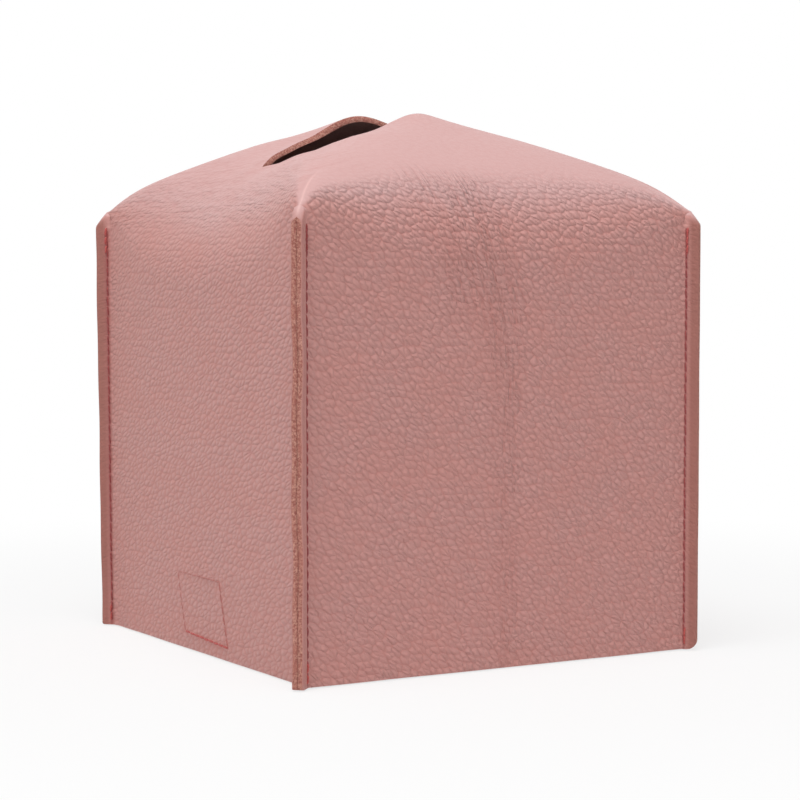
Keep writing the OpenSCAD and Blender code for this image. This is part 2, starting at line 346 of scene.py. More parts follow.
def settle(points):
    """Bends places of the flat-walled shape as the soft cover really stands."""
    x, y, z = points.T
    wave, lean = fin_sway(x, y, z)
    x_new = x + belt_pull(x, y, z) + (lean * np.sign(x) - wave * np.sign(y)) / ROOT2
    y_new = y + front_fold(x, y, z) + (lean * np.sign(y) + wave * np.sign(x)) / ROOT2
    return places(x_new, y_new, z + crown_sag(x, y, z))


def seam_shift(back_left, z):
    """How far out of its line the back left corner's seam runs."""
    return np.where(back_left, SEAM_SHIFT * z / SEAM_H, 0)


def note(mesh, name, values):
    """Notes a number, or three, for each of a mesh's points."""
    kind, key = ("FLOAT", "value") if np.ndim(values) == 1 else ("FLOAT_VECTOR", "vector")
    attribute = mesh.attributes.new(name, kind, "POINT")
    attribute.data.foreach_set(key, np.asarray(values, np.float32).ravel())


def new_mesh(name, points, faces, slots):
    mesh = bpy.data.meshes.new(name)
    mesh.from_pydata(points.tolist(), [], faces)
    mesh.polygons.foreach_set("material_index", slots)
    return mesh


def read_triples(data, key, count):
    """Reads three numbers for each of a mesh's points."""
    values = np.zeros(count * 3, np.float32)
    data.foreach_get(key, values)
    return values.reshape(-1, 3).astype(float)


def add_object(name, data, materials=()):
    """Puts a mesh, a lamp or a camera into the scene."""
    for material in materials:
        data.materials.append(material)
    made = bpy.data.objects.new(name, data)
    bpy.context.scene.collection.objects.link(made)
    return made


class Sheet:
    """Collects points and faces of one mesh, and what each face is made of."""

    def __init__(self):
        self.points, self.coords, self.faces, self.slots = [], [], [], []
        self.unbent = []
        self.count = 0

    def grid(self, points, coords):
        """Adds a grid of points, rows by columns, and returns their numbers."""
        rows, columns = points.shape[:2]
        numbers = np.arange(rows * columns).reshape(rows, columns) + self.count
        self.count += rows * columns
        self.points.append(points.reshape(-1, 3))
        self.coords.append(coords.reshape(-1, 3))
        return numbers

    def face(self, numbers, slot):
        self.faces.append(tuple(numbers))
        self.slots.append(slot)

    def quads(self, numbers, slot, closed=False):
        """Joins neighbouring rows and columns of numbers with quads."""
        if closed:
            numbers = np.vstack([numbers, numbers[:1]])
        a, b = numbers[:-1, :-1], numbers[:-1, 1:]
        c, d = numbers[1:, 1:], numbers[1:, :-1]
        quads = np.stack([a, b, c, d], axis=-1)
        slots = np.broadcast_to(slot, quads.shape[:2])
        self.faces += [tuple(q) for q in quads.reshape(-1, 4).tolist()]
        self.slots += slots.reshape(-1).tolist()

    def settle(self):
        self.points = [settle(points) for points in self.points]

    def build(self, name, materials, weld=1e-6):
        mesh = new_mesh(name, np.concatenate(self.points), self.faces, self.slots)
        note(mesh, "leather_at", np.concatenate(self.coords))
        if self.unbent:
            note(mesh, "unbent", np.concatenate(self.unbent))
        bm = bmesh.new()
        bm.from_mesh(mesh)
        bmesh.ops.remove_doubles(bm, verts=bm.verts, dist=weld)
        bmesh.ops.dissolve_degenerate(bm, edges=bm.edges, dist=weld)
        bmesh.ops.recalc_face_normals(bm, faces=bm.faces)
        for face in bm.faces:
            face.smooth = True
        for edge in bm.edges:
            kinds = {face.material_index for face in edge.link_faces}
            edge.smooth = len(kinds) < 2
        bm.to_mesh(mesh)
        bm.free()
        return add_object(name, mesh, materials)


def inner_crown(out, start, shares, z, edge_x, edge_y):
    """The crown's suede side, row by row out from the slot."""
    rolled = falling(edge_x / (SLOT_L / 2), ROLL_END_SHARE, ROLL_STEP_SHARE) * rising(edge_y, 0, 2 * MM)
    close = falling(out - start, ROLL_REACH, ROLL_REACH)
    skew = np.minimum(LIP_SKEW + ROLL_SKEW * rolled, SKEW_LIMIT_SHARE * slot_half_width(edge_x)) * close
    inner = out - LEATHER * rising(out, HALF_W - TUCK_REACH, TUCK_REACH) - skew
    return places(inner, inner * shares, z - CROWN_DEEPER * LEATHER * (1 - ROLL_THINNER * rolled * close))


def cut_edge(top, under):
    """Rows of the slot's cut edge, which bulges a little."""
    rows = []
    for share in EDGE_SHARES:
        row = top * (1 - share) + under * share
        bulge = EDGE_BULGE * (1 - (2 * share - 1) ** 2)
        row[:, :2] *= 1 - bulge / np.maximum(np.linalg.norm(row[:, :2], axis=1), MM)[:, None]
        rows.append(row)
    return np.array(rows)


def cover_arm(sheet, number, heights, wall_end):
    """One wall and its quarter of the crown, inside and out. Returns the numbers
    of its two side columns and of its last point."""
    wall = WALLS[number]
    turns = np.linspace(-1, 1, WALL_COLUMNS + 1)
    shares = 0.4 * turns + 0.6 * np.sin(pi / 2 * turns)
    plain = abs(shares)
    start = slot_edge(wall, plain)[None, :]
    out = HALF_W - (HALF_W - start) * (1 - np.linspace(0, 1, CROWN_ROWS + 1)[:, None]) ** 2
    edge_x, edge_y = quarter_turn(number, start[0], start[0] * shares)
    z = smooth_rows(outside_height(wall, plain[None, :], out), SMOOTH_PASSES)
    z = z + lip_offset(edge_x, edge_y) * falling(out - start, LIP_REACH, LIP_REACH)
    wall_y = wall_end[:, None] * shares[None, :]
    wall_z = wall_top(wall, abs(wall_y) / HALF_W) * heights[:, None]
    crown = places(out, out * shares, z)
    inner = inner_crown(out, start, shares, z, edge_x, edge_y)
    inner_half = HALF_W - LEATHER
    down = np.linspace(1, 0, INNER_WALL_ROWS + 1)[1:, None]
    inner_wall = places(inner_half, inner_half * shares[None, :], inner[-1, :, 2][None, :] * down)
    loop = np.concatenate([places(HALF_W, wall_y, wall_z), crown[:-1][::-1],
                           cut_edge(crown[0], inner[0]), inner, inner_wall])
    rises = np.hypot(np.diff(crown[::-1, :, 0], axis=0), np.diff(crown[::-1, :, 2], axis=0))
    edge_from = WALL_ROWS + CROWN_ROWS
    up = np.zeros(loop.shape[:2])
    up[:WALL_ROWS + 1] = wall_z
    up[WALL_ROWS + 1:edge_from + 1] = wall_z[-1] + np.cumsum(rises, axis=0)
    unrolled = places(loop[..., 1] / WIDEN[number], up / TALLER[number], WALL_STEP * number)
    x, y = quarter_turn(number, loop[..., 0], loop[..., 1])
    numbers = sheet.grid(places(x, y, loop[..., 2]), unrolled)
    slots = np.full(len(numbers), GRAIN_SIDE)
    slots[edge_from:] = BARE
    slots[edge_from + len(EDGE_SHARES) + 1:] = SUEDE
    slots[-1] = BARE
    sheet.quads(numbers, slots[:, None], closed=True)
    return numbers[:WALL_ROWS + 1, 0], numbers[:WALL_ROWS + 1, -1], int(numbers[-1, -1])


def fin_half_section(half_thick, tip):
    """Half of a fin's section in each row, from the wall's end to the middle of
    the groove: (place along the diagonal, place sideways) for each point."""
    scale = half_thick / LEATHER
    crease = CORNER_D - half_thick
    tangent = FILLET_TANGENT * scale
    side = crease + tangent
    edge = EDGE_ROUND * scale
    groove = GROOVE_HALF * scale
    points = [(curve(crease - tangent / ROOT2, crease, side, s), half_thick + tangent / ROOT2 * (1 - s) ** 2)
              for s in FILLET_STEPS]
    points += [(side + (tip - edge - side) * share, half_thick) for share in FIN_SIDE_SHARES]
    for turn in np.radians(FIN_EDGE_TURNS):
        points.append((tip - edge * (1 - sin(turn)), half_thick - edge * (1 - cos(turn))))
    return points + [(tip + GROOVE_BULGE * scale, (half_thick - edge + groove) / 2),
                     (tip - GROOVE_LIP * scale, groove), (tip - GROOVE_DEPTH * scale, 0)]


def corner_fin(sheet, corner, row_z, half_thick, wall_end, before, after, hub):
    """One corner's fin, between the side columns of its two walls. A fan of faces
    closes its foot round the hub, a point inside the corner."""
    slope = rising(row_z, CREASE_Z - FIN_SLOPE_REACH, FIN_SLOPE_REACH) * (CREASE_Z - SEAM_H)
    tip_z = row_z - slope
    tip = FIN_TIP_D - corner_pull(tip_z, FOOT_R[corner]) - corner_pull(SEAM_H - tip_z, FIN_TOP_R)
    half = fin_half_section(half_thick, tip)
    section = [(d, -side) for d, side in half] + [(d, side) for d, side in half[-2::-1]]
    angle = radians(45 + 90 * corner)
    columns, unrolled = [], []
    for index, (d, side) in enumerate(section):
        z = row_z - slope * np.clip((d - CORNER_D) / (FIN_TIP_D - CORNER_D), 0, 1)
        columns.append(places(d * cos(angle) - side * sin(angle), d * sin(angle) + side * cos(angle), z))
        second = index >= len(half)
        number = (corner + second) % 4
        across = (wall_end + d - CORNER_D + half_thick) / WIDEN[number]
        unrolled.append(places(-across if second else across, z / TALLER[number], WALL_STEP * number))
    numbers = sheet.grid(np.stack(columns, 1), np.stack(unrolled, 1))
    numbers = np.column_stack([before, numbers, after])
    slots = np.full(numbers.shape[1] - 1, GRAIN_SIDE)
    slots[FIN_BARE_FROM:-FIN_BARE_FROM] = BARE
    sheet.quads(numbers, slots[None, :])
    for first, second in zip(numbers[0, :-1].tolist(), numbers[0, 1:].tolist()):
        sheet.face((hub, first, second), BARE)


def cover_sheet():
    """The whole leather blank: walls, crown, fins, cut edges and suede side."""
    sheet = Sheet()
    steps = np.linspace(0, 1, WALL_ROWS + 1)
    heights = 0.15 * steps + 0.85 * (1 - np.cos(pi * steps)) / 2
    row_z = CREASE_Z * heights
    half_thick = LEATHER - corner_pull(CREASE_Z - row_z, LEATHER)
    wall_end = HALF_W - ROOT2 * half_thick - FILLET_TANGENT * half_thick / LEATHER
    arms = [cover_arm(sheet, number, heights, wall_end) for number in range(len(WALLS))]
    for corner in range(len(CORNERS)):
        before, hub = arms[corner][1:]
        after = arms[(corner + 1) % len(arms)][0]
        corner_fin(sheet, corner, row_z, half_thick, wall_end, before, after, hub)
    sheet.unbent = sheet.points
    sheet.settle()
    return sheet


def upright_folds(x, z, front):
    """Folds down the front, which spread towards the top: (across, strength, along)."""
    middle = 12 * MM * falling(z, 142 * MM, 60 * MM) - 11 * MM
    spread = 4 * MM + 6 * MM * rising(z, 60 * MM, 60 * MM)
    main = hump(x - middle, spread) * falling(z, 140 * MM, 8 * MM)
    main *= 0.75 + 0.25 * rising(z, 55 * MM, 50 * MM)
    beside = 0.6 * hump(x - middle + 13 * MM, 6 * MM) * rising(z, 92 * MM, 12 * MM)
    return places(x - middle, front * (main + beside), z)


def level_folds(x, y, z, level):
    """Ripples along the side walls' shoulders, in the same way."""
    level = level * rising(abs(x), 30 * MM, 14 * MM)
    level *= rising(z, 118 * MM, 8 * MM) * falling(z, 146 * MM, 6 * MM)
    return places(z + 0.25 * (abs(x) - HALF_W), level, y)


def seam_crease_shade(x, y, z):
    """Where the leather is painted darker along the seams' stitches: painted shade in the stitch crease."""
    diagonal, aside = to_corner(x, y)
    back_left = nearest_corner(x, y) == BACK_LEFT
    line = FIN_TIP_D - SEAM_INSET + seam_shift(back_left, z)
    on_face = (aside > 0.9 * LEATHER) * (aside < 1.35 * LEATHER)
    seams = hump(diagonal - line, np.where(back_left, 0.7 * MM, 0.32 * MM))
    return seams * on_face * falling(z, SEAM_H - SEAM_TOP + 0.8 * MM, 1 * MM)


def crease_piece(piece):
    """Adds the leather's soft unevenness to the mesh, and notes its grain, folds
    and marks for the finish, among them masks for painted sheen, highlight and shade."""
    mesh = piece.data
    count = len(mesh.vertices)
    bent = read_triples(mesh.vertices, "co", count)
    normals = read_triples(mesh.vertex_normals, "vector", count)
    x, y, z = read_triples(mesh.attributes["unbent"].data, "vector", count).T
    diagonal, aside = to_corner(x, y)
    facing_up = normals[:, 2]
    outside = (np.maximum(abs(x), abs(y)) > HALF_W - 0.6 * LEATHER) | (facing_up > 0.15)
    fins = rising(diagonal, CORNER_D - 2.5 * MM, 2.5 * MM)
    # A narrow ridge runs from each fin's top up the crown's corner crease. It is raised a little and gets a
    # painted highlight.
    highlit_crest = hump(aside, 0.28 * MM) * (z > SEAM_H - 1 * MM) * outside
    highlit_crest *= rising(diagonal, CORNER_D - 22 * MM, 16 * MM) * falling(diagonal, FIN_TIP_D, 1.5 * MM)
    rough = np.array([noise.noise(Vector(p) * ROUGH_PER_M) for p in bent.tolist()])
    shift = (ROUGH * rough * (1 - fins) + CREST * highlit_crest) * outside
    mesh.vertices.foreach_set("co", (bent + normals * shift[:, None]).ravel())
    front = rising(abs(y), 44 * MM, 12 * MM) * rising(abs(y) - abs(x), -4 * MM, 8 * MM)
    shoulder = rising(z, 104 * MM, 16 * MM) * falling(z, 144 * MM, 8 * MM)
    depth = GRAIN_DEPTH + FRONT_DEEPER * front + FRONT_SHOULDER_DEEPER * front * shoulder
    depth *= (1 - TOP_SHALLOWER * rising(facing_up, 0.55, 0.35)) * (1 - FIN_SHALLOWER * fins)
    depth *= 1 - (1 - front) * (SIDE_SHALLOWER + SIDE_SHOULDER_SHALLOWER * shoulder)
    even = 1 - np.exp(-(aside / (1.4 * MM)) ** 4) * (z > SEAM_H)
    rims = rising(diagonal, CORNER_D - 1 * MM, 1.6 * MM) * falling(z, SEAM_H + 3 * MM, 3 * MM)
    rims *= np.where(nearest_corner(x, y) == FRONT_LEFT, 0.35, 1)
    # Masks for the finish: painted sheen where faces look up, painted highlight up the crests, painted shade
    # along the stitches
    noted = dict(grain_depth=depth * even, grain_coarse=1 - 0.6 * fins, grain_even=even, highlit_crest=highlit_crest,
                 rim=rims, seam=seam_crease_shade(x, y, z), painted_top_sheen=rising(facing_up, 0.2, 0.5))
    for name, values in noted.items():
        note(mesh, name, values * outside)
    note(mesh, "folds", upright_folds(x, z, front))
    note(mesh, "ripples", level_folds(x, y, z, (1 - front) * (1 - fins)))
    mesh.attributes.remove(mesh.attributes["unbent"])
    mesh.update()


def rgb(red, green, blue):
    """A colour as seen on a screen, 0 to 255, as the shader's linear colour."""
    def channel(value):
        value /= 255
        return value / 12.92 if value <= 0.04045 else ((value + 0.055) / 1.055) ** 2.4
    return (channel(red), channel(green), channel(blue), 1)


class Nodes:
    """A tree of shader nodes."""

    def __init__(self, tree):
        self.tree = tree

    def join(self, socket, value):
        if isinstance(value, bpy.types.NodeSocket):
            self.tree.links.new(value, socket)
        else:
            socket.default_value = value

    def add(self, kind, inputs=(), **settings):
        made = self.tree.nodes.new("ShaderNode" + kind)
        for key, value in settings.items():
            setattr(made, key, value)
        for key, value in dict(inputs).items():
            self.join(made.inputs[key], value)
        return made

    def maths(self, operation, a, b=0.0, clamp=False):
        return self.add("Math", {0: a, 1: b}, operation=operation, use_clamp=clamp).outputs[0]

    def times(self, a, b, clamp=False):
        return self.maths("MULTIPLY", a, b, clamp)

    def plus(self, a, b, clamp=False):
        return self.maths("ADD", a, b, clamp)

    def vectors(self, operation, a, b):
        return self.add("VectorMath", {0: a, 1: b}, operation=operation).outputs[0]

    def ranged(self, value, low, high, to_low=0.0, to_high=1.0):
        ends = {"From Min": low, "From Max": high, "To Min": to_low, "To Max": to_high}
        made = self.add("MapRange", {"Value": value, **ends}, interpolation_type="SMOOTHSTEP")
        return made.outputs["Result"]

    def mixed(self, share, first, second):
        """A mix of two colours. A colour may be three numbers, as seen on a screen."""
        first, second = (rgb(*end) if isinstance(end, tuple) else end for end in (first, second))
        return self.add("Mix", {0: share, 6: first, 7: second}, data_type="RGBA").outputs[2]

    def mixed_shaders(self, share, first, second):
        return self.add("MixShader", {0: share, 1: first, 2: second}).outputs[0]

    def seen(self):
        """1 for a ray that shows what is there, and 0 for one that lights it."""
        rays = self.add("LightPath").outputs
        either = self.maths("MAXIMUM", rays["Is Camera Ray"], rays["Is Glossy Ray"])
        return self.maths("MAXIMUM", either, rays["Is Transmission Ray"])


class Finish(Nodes):
    """A material and its nodes. Places are in millimetres."""

    def __init__(self, name, **shader):
        self.material = bpy.data.materials.new(name)
        self.material.use_nodes = True
        super().__init__(self.material.node_tree)
        self.shader = self.tree.nodes["Principled BSDF"]
        for key, value in shader.items():
            self.shader.inputs[key.replace("_", " ")].default_value = value

    def in_mm(self, place):
        return self.vectors("MULTIPLY", place, (1 / MM,) * 3)

    def object_place(self):
        return self.in_mm(self.add("TexCoord").outputs["Object"])

    def noted(self, name, output="Fac"):
        """What the mesh notes for each of its points."""
        return self.add("Attribute", attribute_name=name).outputs[output]

    def noise(self, vector, scale, detail=3.0, roughness=0.5, output="Fac"):
        inputs = {"Vector": vector, "Scale": scale, "Detail": detail, "Roughness": roughness}
        return self.add("TexNoise", inputs).outputs[output]

    def warped(self, vector, scale, amount):
        """The same places, pushed about by a soft noise."""
        centred = self.vectors("SUBTRACT", self.noise(vector, scale, 2.0, output="Color"), (0.5, 0.5, 0.5))
        return self.vectors("ADD", vector, self.vectors("MULTIPLY", centred, (amount,) * 3))

    def pebbles(self, vector, scale, randomness):
        """Plump close-packed cells with creases between them, 0 in a crease to 1."""
        shared = {"Vector": vector, "Scale": scale, "Randomness": randomness}
        middle = self.add("TexVoronoi", shared, voronoi_dimensions="2D", feature="F1")
        rim = self.add("TexVoronoi", shared, voronoi_dimensions="2D", feature="DISTANCE_TO_EDGE")
        dome = self.times(self.ranged(middle.outputs["Distance"], 0.9, -0.02), 0.7)
        return self.plus(dome, self.times(self.ranged(rim.outputs["Distance"], -0.12, 0.42), 0.5))

    def colour(self, colour):
        self.join(self.shader.inputs["Base Color"], colour)

    def bump(self, height, distance):
        made = self.add("Bump", {"Height": height, "Distance": distance})
        self.join(self.shader.inputs["Normal"], made.outputs["Normal"])


# The leather's grain: big and small cells per millimetre, how far they lean, the
# share of that count up their height, and the height of the bumps
PEBBLES_PER_MM = 0.53
SMALL_PER_MM = 0.95
GRAIN_LEAN = 0.48
GRAIN_UP_SHARE = 0.85
GRAIN_BUMP = 0.6 * MM
FINE_SHARE = 0.08
# How deep the upright and the level folds are, beside the grain
FOLD_DEPTHS = (("folds", 0.7), ("ripples", 0.4))
# Marks noted on the mesh: how strongly each colours the leather, and its colour
# The rim mark darkens the fins' outer bands; the pale mark up the corner crests is a painted highlight, the
# dark one along the stitches painted shade
LEATHER_MARKS = (("rim", 0.9, (162, 106, 96)), ("highlit_crest", 0.35, (246, 206, 200)),
                 ("seam", 0.75, (146, 72, 67)))


def leather_finish(name, base, crevice_shade, pale):
    """Pebbled, lightly coated leather, with painted shade in its hollows and folds and a painted sheen where
    it faces up.
    """
    look = Finish(name, Roughness=0.5, Specular_IOR_Level=0.25, Sheen_Weight=0.05, Sheen_Roughness=0.45)
    place = look.in_mm(look.noted("leather_at", "Vector"))
    parts = look.add("SeparateXYZ", {0: place}).outputs
    across = look.plus(parts["X"], parts["Z"])
    sheared = look.add("CombineXYZ", {
        0: look.plus(across, look.times(parts["Y"], GRAIN_LEAN)),
        1: look.times(parts["Y"], GRAIN_UP_SHARE)}).outputs[0]
    bent = look.warped(look.warped(sheared, 0.22, 1.6), 0.7, 0.3)
    big = look.pebbles(bent, PEBBLES_PER_MM, 0.85)
    small = look.pebbles(look.warped(sheared, 0.9, 0.6), SMALL_PER_MM, 1.0)
    fine = look.noise(place, 3.0, 3.0, 0.6)
    soft = look.noise(place, 0.07, 3.0)
    depth = look.times(look.noted("grain_depth"), look.ranged(soft, 0.3, 0.7, 0.9, 1.1))
    mix = {0: look.noted("grain_coarse"), 2: look.times(small, 0.6), 3: big}
    grain = look.add("Mix", mix, data_type="FLOAT").outputs[0]
    height = look.times(grain, depth)
    # The folds' dips are painted darker as well: painted shade in the folds
    darker = 0.0
    for folds, deep in FOLD_DEPTHS:
        found = look.noted(folds, "Vector")
        lines = look.noise(look.vectors("MULTIPLY", found, (800, 0, 60)), 1.0, 2.0, 0.6)
        strength = look.add("SeparateXYZ", {0: found}).outputs["Y"]
        wrinkles = look.times(look.ranged(lines, 0.32, 0.62), strength)
        height = look.plus(height, look.times(wrinkles, deep))
        dip = look.maths("SUBTRACT", strength, wrinkles)
        darker = look.plus(darker, look.times(dip, 0.3 * deep))
    even = look.noted("grain_even")
    height = look.plus(height, look.times(fine, look.times(even, FINE_SHARE)))
    look.bump(height, GRAIN_BUMP)
    # Random paler clouds of the leather's own tone, plus a painted sheen on faces that look up
    cloudy = look.times(look.ranged(soft, 0.32, 0.68, 0.0, 0.22), even)
    body = look.mixed(look.plus(cloudy, look.noted("painted_top_sheen"), clamp=True), base, pale)
    # Painted shade: the grain's hollows and the folds' dips are painted towards the dark shade colour
    low = look.times(look.maths("SUBTRACT", 0.5, grain), look.times(depth, 0.55), clamp=True)
    body = look.mixed(look.plus(low, darker, clamp=True), body, crevice_shade)
    for noted, share, colour in LEATHER_MARKS:
        body = look.mixed(look.times(look.noted(noted), share), body, colour)
    look.colour(body)
    look.join(look.shader.inputs["Roughness"], look.ranged(grain, 0.2, 1.0, 0.6, 0.46))
    return look.material


def bare_edge_finish():
    """The cut edge: short speckled fibres."""
    look = Finish("bare_edge", Roughness=0.9)
    place = look.object_place()
    speck = look.noise(place, 1.7, 4.0, 0.75)
    coarse = look.noise(place, 0.4, 3.0, 0.6)
    colour = look.mixed(look.ranged(speck, 0.4, 0.62), (156, 88, 78), (216, 162, 145))
    look.colour(look.mixed(look.ranged(coarse, 0.35, 0.7, 0.0, 0.6), colour, (182, 112, 99)))
    look.bump(look.plus(speck, look.times(coarse, 0.5)), 0.3 * MM)
    return look.material


def suede_finish():
    """The flesh side of the leather: short nap, a little mottled."""
    look = Finish("suede_side", Roughness=0.95, Sheen_Weight=0.25, Sheen_Roughness=0.5)
    place = look.object_place()
    nap = look.noise(place, 1.9, 5.0, 0.7)
    cloudy = look.noise(place, 0.06, 3.0, 0.55)
    colour = look.mixed(look.ranged(cloudy, 0.3, 0.7), (166, 112, 104), (186, 132, 122))
    look.colour(look.mixed(look.ranged(nap, 0.35, 0.7, 0.0, 0.5), colour, (140, 90, 84)))
    look.bump(nap, 0.25 * MM)
    return look.material


def thread_finish(name, light, dark):
    """Spun polyester: fine fibres along the ply."""
    look = Finish(name, Roughness=0.6, Sheen_Weight=0.15)
    fibre = look.noise(look.object_place(), 5.0, 3.0, 0.6)
    look.colour(look.mixed(look.ranged(fibre, 0.35, 0.65), dark, light))
    look.bump(fibre, 0.08 * MM)
    return look.material


def tape_finish(name, light, dark):
    """Woven tape: fine crossing yarns."""
    look = Finish(name, Roughness=0.8, Sheen_Weight=0.1)
    place = look.object_place()
    yarns = [look.add("TexWave", {"Vector": place, "Scale": scale, "Distortion": 0.6},
                      bands_direction=way).outputs["Fac"] for way, scale in (("X", 0.55), ("Y", 0.8))]
    weave = look.times(*yarns)
    look.colour(look.mixed(look.ranged(weave, 0.1, 0.7), dark, light))
    look.bump(weave, 0.2 * MM)
    return look.material


cover_leather = leather_finish("cover_leather", (206, 148, 141), (176, 92, 82), (208, 164, 161))
# The straps' leather is the cover's leather painted darker: painted shade
belt_leather = leather_finish("belt_leather", (196, 140, 132), (150, 92, 86), (204, 150, 142))
bare_edge = bare_edge_finish()
suede = suede_finish()
# One red thread in two copies: duller, as painted shade, for most stitches; brighter, as painted light, for
# the doubled ones
seam_thread = thread_finish("seam_thread", (172, 76, 74), (124, 50, 51))
highlit_knot_thread = thread_finish("highlit_knot_thread", (206, 98, 90), (164, 66, 64))
box_thread = thread_finish("box_thread", (196, 126, 118), (172, 102, 96))
hook_tape = tape_finish("hook_tape", (184, 132, 124), (140, 92, 86))
loop_tape = tape_finish("loop_tape", (196, 146, 138), (150, 104, 98))
hook_wire = thread_finish("hook_wire", (196, 146, 138), (168, 116, 110))
loop_yarn = thread_finish("loop_yarn", (206, 156, 148), (176, 124, 118))


def make_cover():
    piece = cover_sheet().build("cover", [cover_leather, bare_edge, suede])
    crease_piece(piece)
    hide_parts("leather_cover")
    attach(piece, "cover")


class Tubes:
    """Collects round threads as one mesh."""

    def __init__(self):
        self.points, self.faces, self.slots = [], [], []

    def wire(self, path, radius):
        """A thin tube without plies."""
        self.add(path, [radius] * len(path), plies=1, ply_depth=0, twist=0)

    def add(self, path, radii, first_turn=0.0, plies=2, twist=2.4, ply_depth=0.16, slot=0):
        """A closed tube along a path, with the twist of its plies."""
        base = len(self.points)
        last = base + (len(path) - 1) * RING_SIDES
        self.slots += [slot] * ((len(path) - 1) * RING_SIDES + 2)
        path = np.asarray(path, float)
        ahead = np.gradient(path, axis=0)
        ahead /= np.maximum(np.linalg.norm(ahead, axis=1), 1e-12)[:, None]
        # No thread runs along this direction
        guide = np.array([0.37, 0.52, 0.77])
        for place, along, radius, step in zip(path, ahead, radii, range(len(path))):
            u = np.cross(along, guide)
            u /= np.linalg.norm(u)
            v = np.cross(along, u)
            turn = first_turn + twist * 2 * pi * step / (len(path) - 1)
            for k in range(RING_SIDES):
                a = 2 * pi * k / RING_SIDES
                r = radius * (1 + ply_depth * cos(plies * a - turn))
                self.points.append(place + u * r * cos(a) + v * r * sin(a))
        for ring in range(base, last, RING_SIDES):
            for k in range(RING_SIDES):
                n = (k + 1) % RING_SIDES
                self.faces.append((ring + k, ring + n, ring + RING_SIDES + n, ring + RING_SIDES + k))
        self.faces.append(tuple(base + k for k in range(RING_SIDES))[::-1])
        self.faces.append(tuple(last + k for k in range(RING_SIDES)))

    def build(self, name, materials):
        mesh = new_mesh(name, settle(np.array(self.points)), self.faces, self.slots)
        mesh.polygons.foreach_set("use_smooth", [True] * len(self.faces))
        mesh.update()
        return add_object(name, mesh, materials)


def stitch(tubes, start, end, normal, chance, lift, sink, slant, radius, slot=0):
    """One stitch between two needle holes, arched over the face."""
    start, end, normal = (np.array(p, float) for p in (start, end, normal))
    along = end - start
    sideways = np.cross(normal, along)
    sideways /= np.linalg.norm(sideways)
    path, radii = [], []
    wobble = chance.uniform(-WOBBLE, WOBBLE)
    top = lift * chance.uniform(0.85, 1.15)
    for s in np.linspace(0, 1, RINGS):
        arch = 1 - abs(2 * s - 1) ** 3
        rise = -sink + (sink + top) * arch
        path.append(start + along * (0.01 + 0.98 * s) + normal * rise
                    + sideways * (slant * (s - 0.5) * 2 + wobble * sin(pi * s)))
        radii.append(radius * (0.72 + 0.28 * min(1, 4 * s, 4 * (1 - s))))
    tubes.add(path, radii, chance.uniform(0, 6), slot=slot)


def sewn_piece(tubes, name, body, thread):
    """Makes one piece of a row of stitches, in place of its thread's node."""
    piece = tubes.build(f"{name}_stitches", [thread, highlit_knot_thread])
    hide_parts(f"{name}_thread")
    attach(piece, body)


def make_seam(corner, kind, side):
    """One thread of a corner's seam, with the doubled stitches at both ends."""
    name = CORNERS[corner]
    count = round((SEAM_H - SEAM_TOP - SEAM_FOOT) / STITCH)
    heights = np.linspace(SEAM_FOOT, SEAM_H - SEAM_TOP + SEAM_STRETCH, count + 1)
    angle = radians(45 + 90 * corner)
    out = np.array([cos(angle), sin(angle), 0])
    normal = np.array([-sin(angle), cos(angle), 0]) * side
    chance = random.Random(f"{name}{kind}")
    tubes = Tubes()

    def hole(z, jitter=0.0):
        hole_d = FIN_TIP_D - SEAM_INSET + seam_shift(corner == BACK_LEFT, z) + jitter
        return out * hole_d + normal * LEATHER + np.array([0, 0, z])

    for low, high in zip(heights, heights[1:]):
        stitch(tubes, hole(low), hole(high), normal, chance, **SINGLE)
    # The doubled stitches take the brighter painted-light copy of the thread, but not at the front left
    # corner's top
    top_slot = 0 if corner == FRONT_LEFT else 1
    for first, doubled, slot in ((heights[0], 2, 1), (heights[-1] - 2.5 * STITCH, 3, top_slot)):
        for k in range(doubled):
            low = first + STITCH * (DOUBLED_SHARE * k + chance.uniform(-0.1, 0.1))
            high = min(low + DOUBLED_SHARE * STITCH, heights[-1] + 0.3 * MM)
            stitch(tubes, hole(low, 0.30 * MM), hole(high, 0.24 * MM), normal, chance, slot=slot, **DOUBLED)
    sewn_piece(tubes, f"{name}_{kind}", "cover", seam_thread)


def make_seams():
    """The needle and the bobbin thread of each corner seam."""
    for corner in range(len(CORNERS)):
        make_seam(corner, "needle", (-1) ** corner)
        make_seam(corner, "bobbin", -(-1) ** corner)


# The straps under the box, their anchors inside the walls and their tape
STRAP_BEND_R = 1.5 * MM
TIP_R = 5 * MM
ANCHOR_CORNER_R = 1 * MM
STRAP_COLUMNS = 48
STRAP_EDGE_TURNS = (30, 60, 90)
STRAP_EDGE_POINTS = 2 * len(STRAP_EDGE_TURNS)
# Places of the rows at each end of a strap, and how far they go
END_STEPS = np.array([0, 0.04, 0.12, 0.22, 0.34, 0.7, 1.2, 2.0, 3.0, 4.0, 5.0]) * MM
END_REACH = 6 * MM
# The straps' grain; they get none of the painted sheen on faces that look up
STRAP_GRAIN = dict(grain_depth=0.6, grain_coarse=0.4, grain_even=1.0, painted_top_sheen=0.0)
TAPE_BASE = 0.5 * MM
TAPE_MARGIN = 2 * MM
TAPE_CORNER_R = 0.8 * MM
# A tape's levels: how far each is inset, and its share of the base's thickness
TAPE_LEVELS = ((0.0, 0.0), (0.0, 0.55), (0.12 * MM, 0.9), (0.35 * MM, 1.0))
HOOK_PITCH = 1.3 * MM
HOOK_R = 0.085 * MM
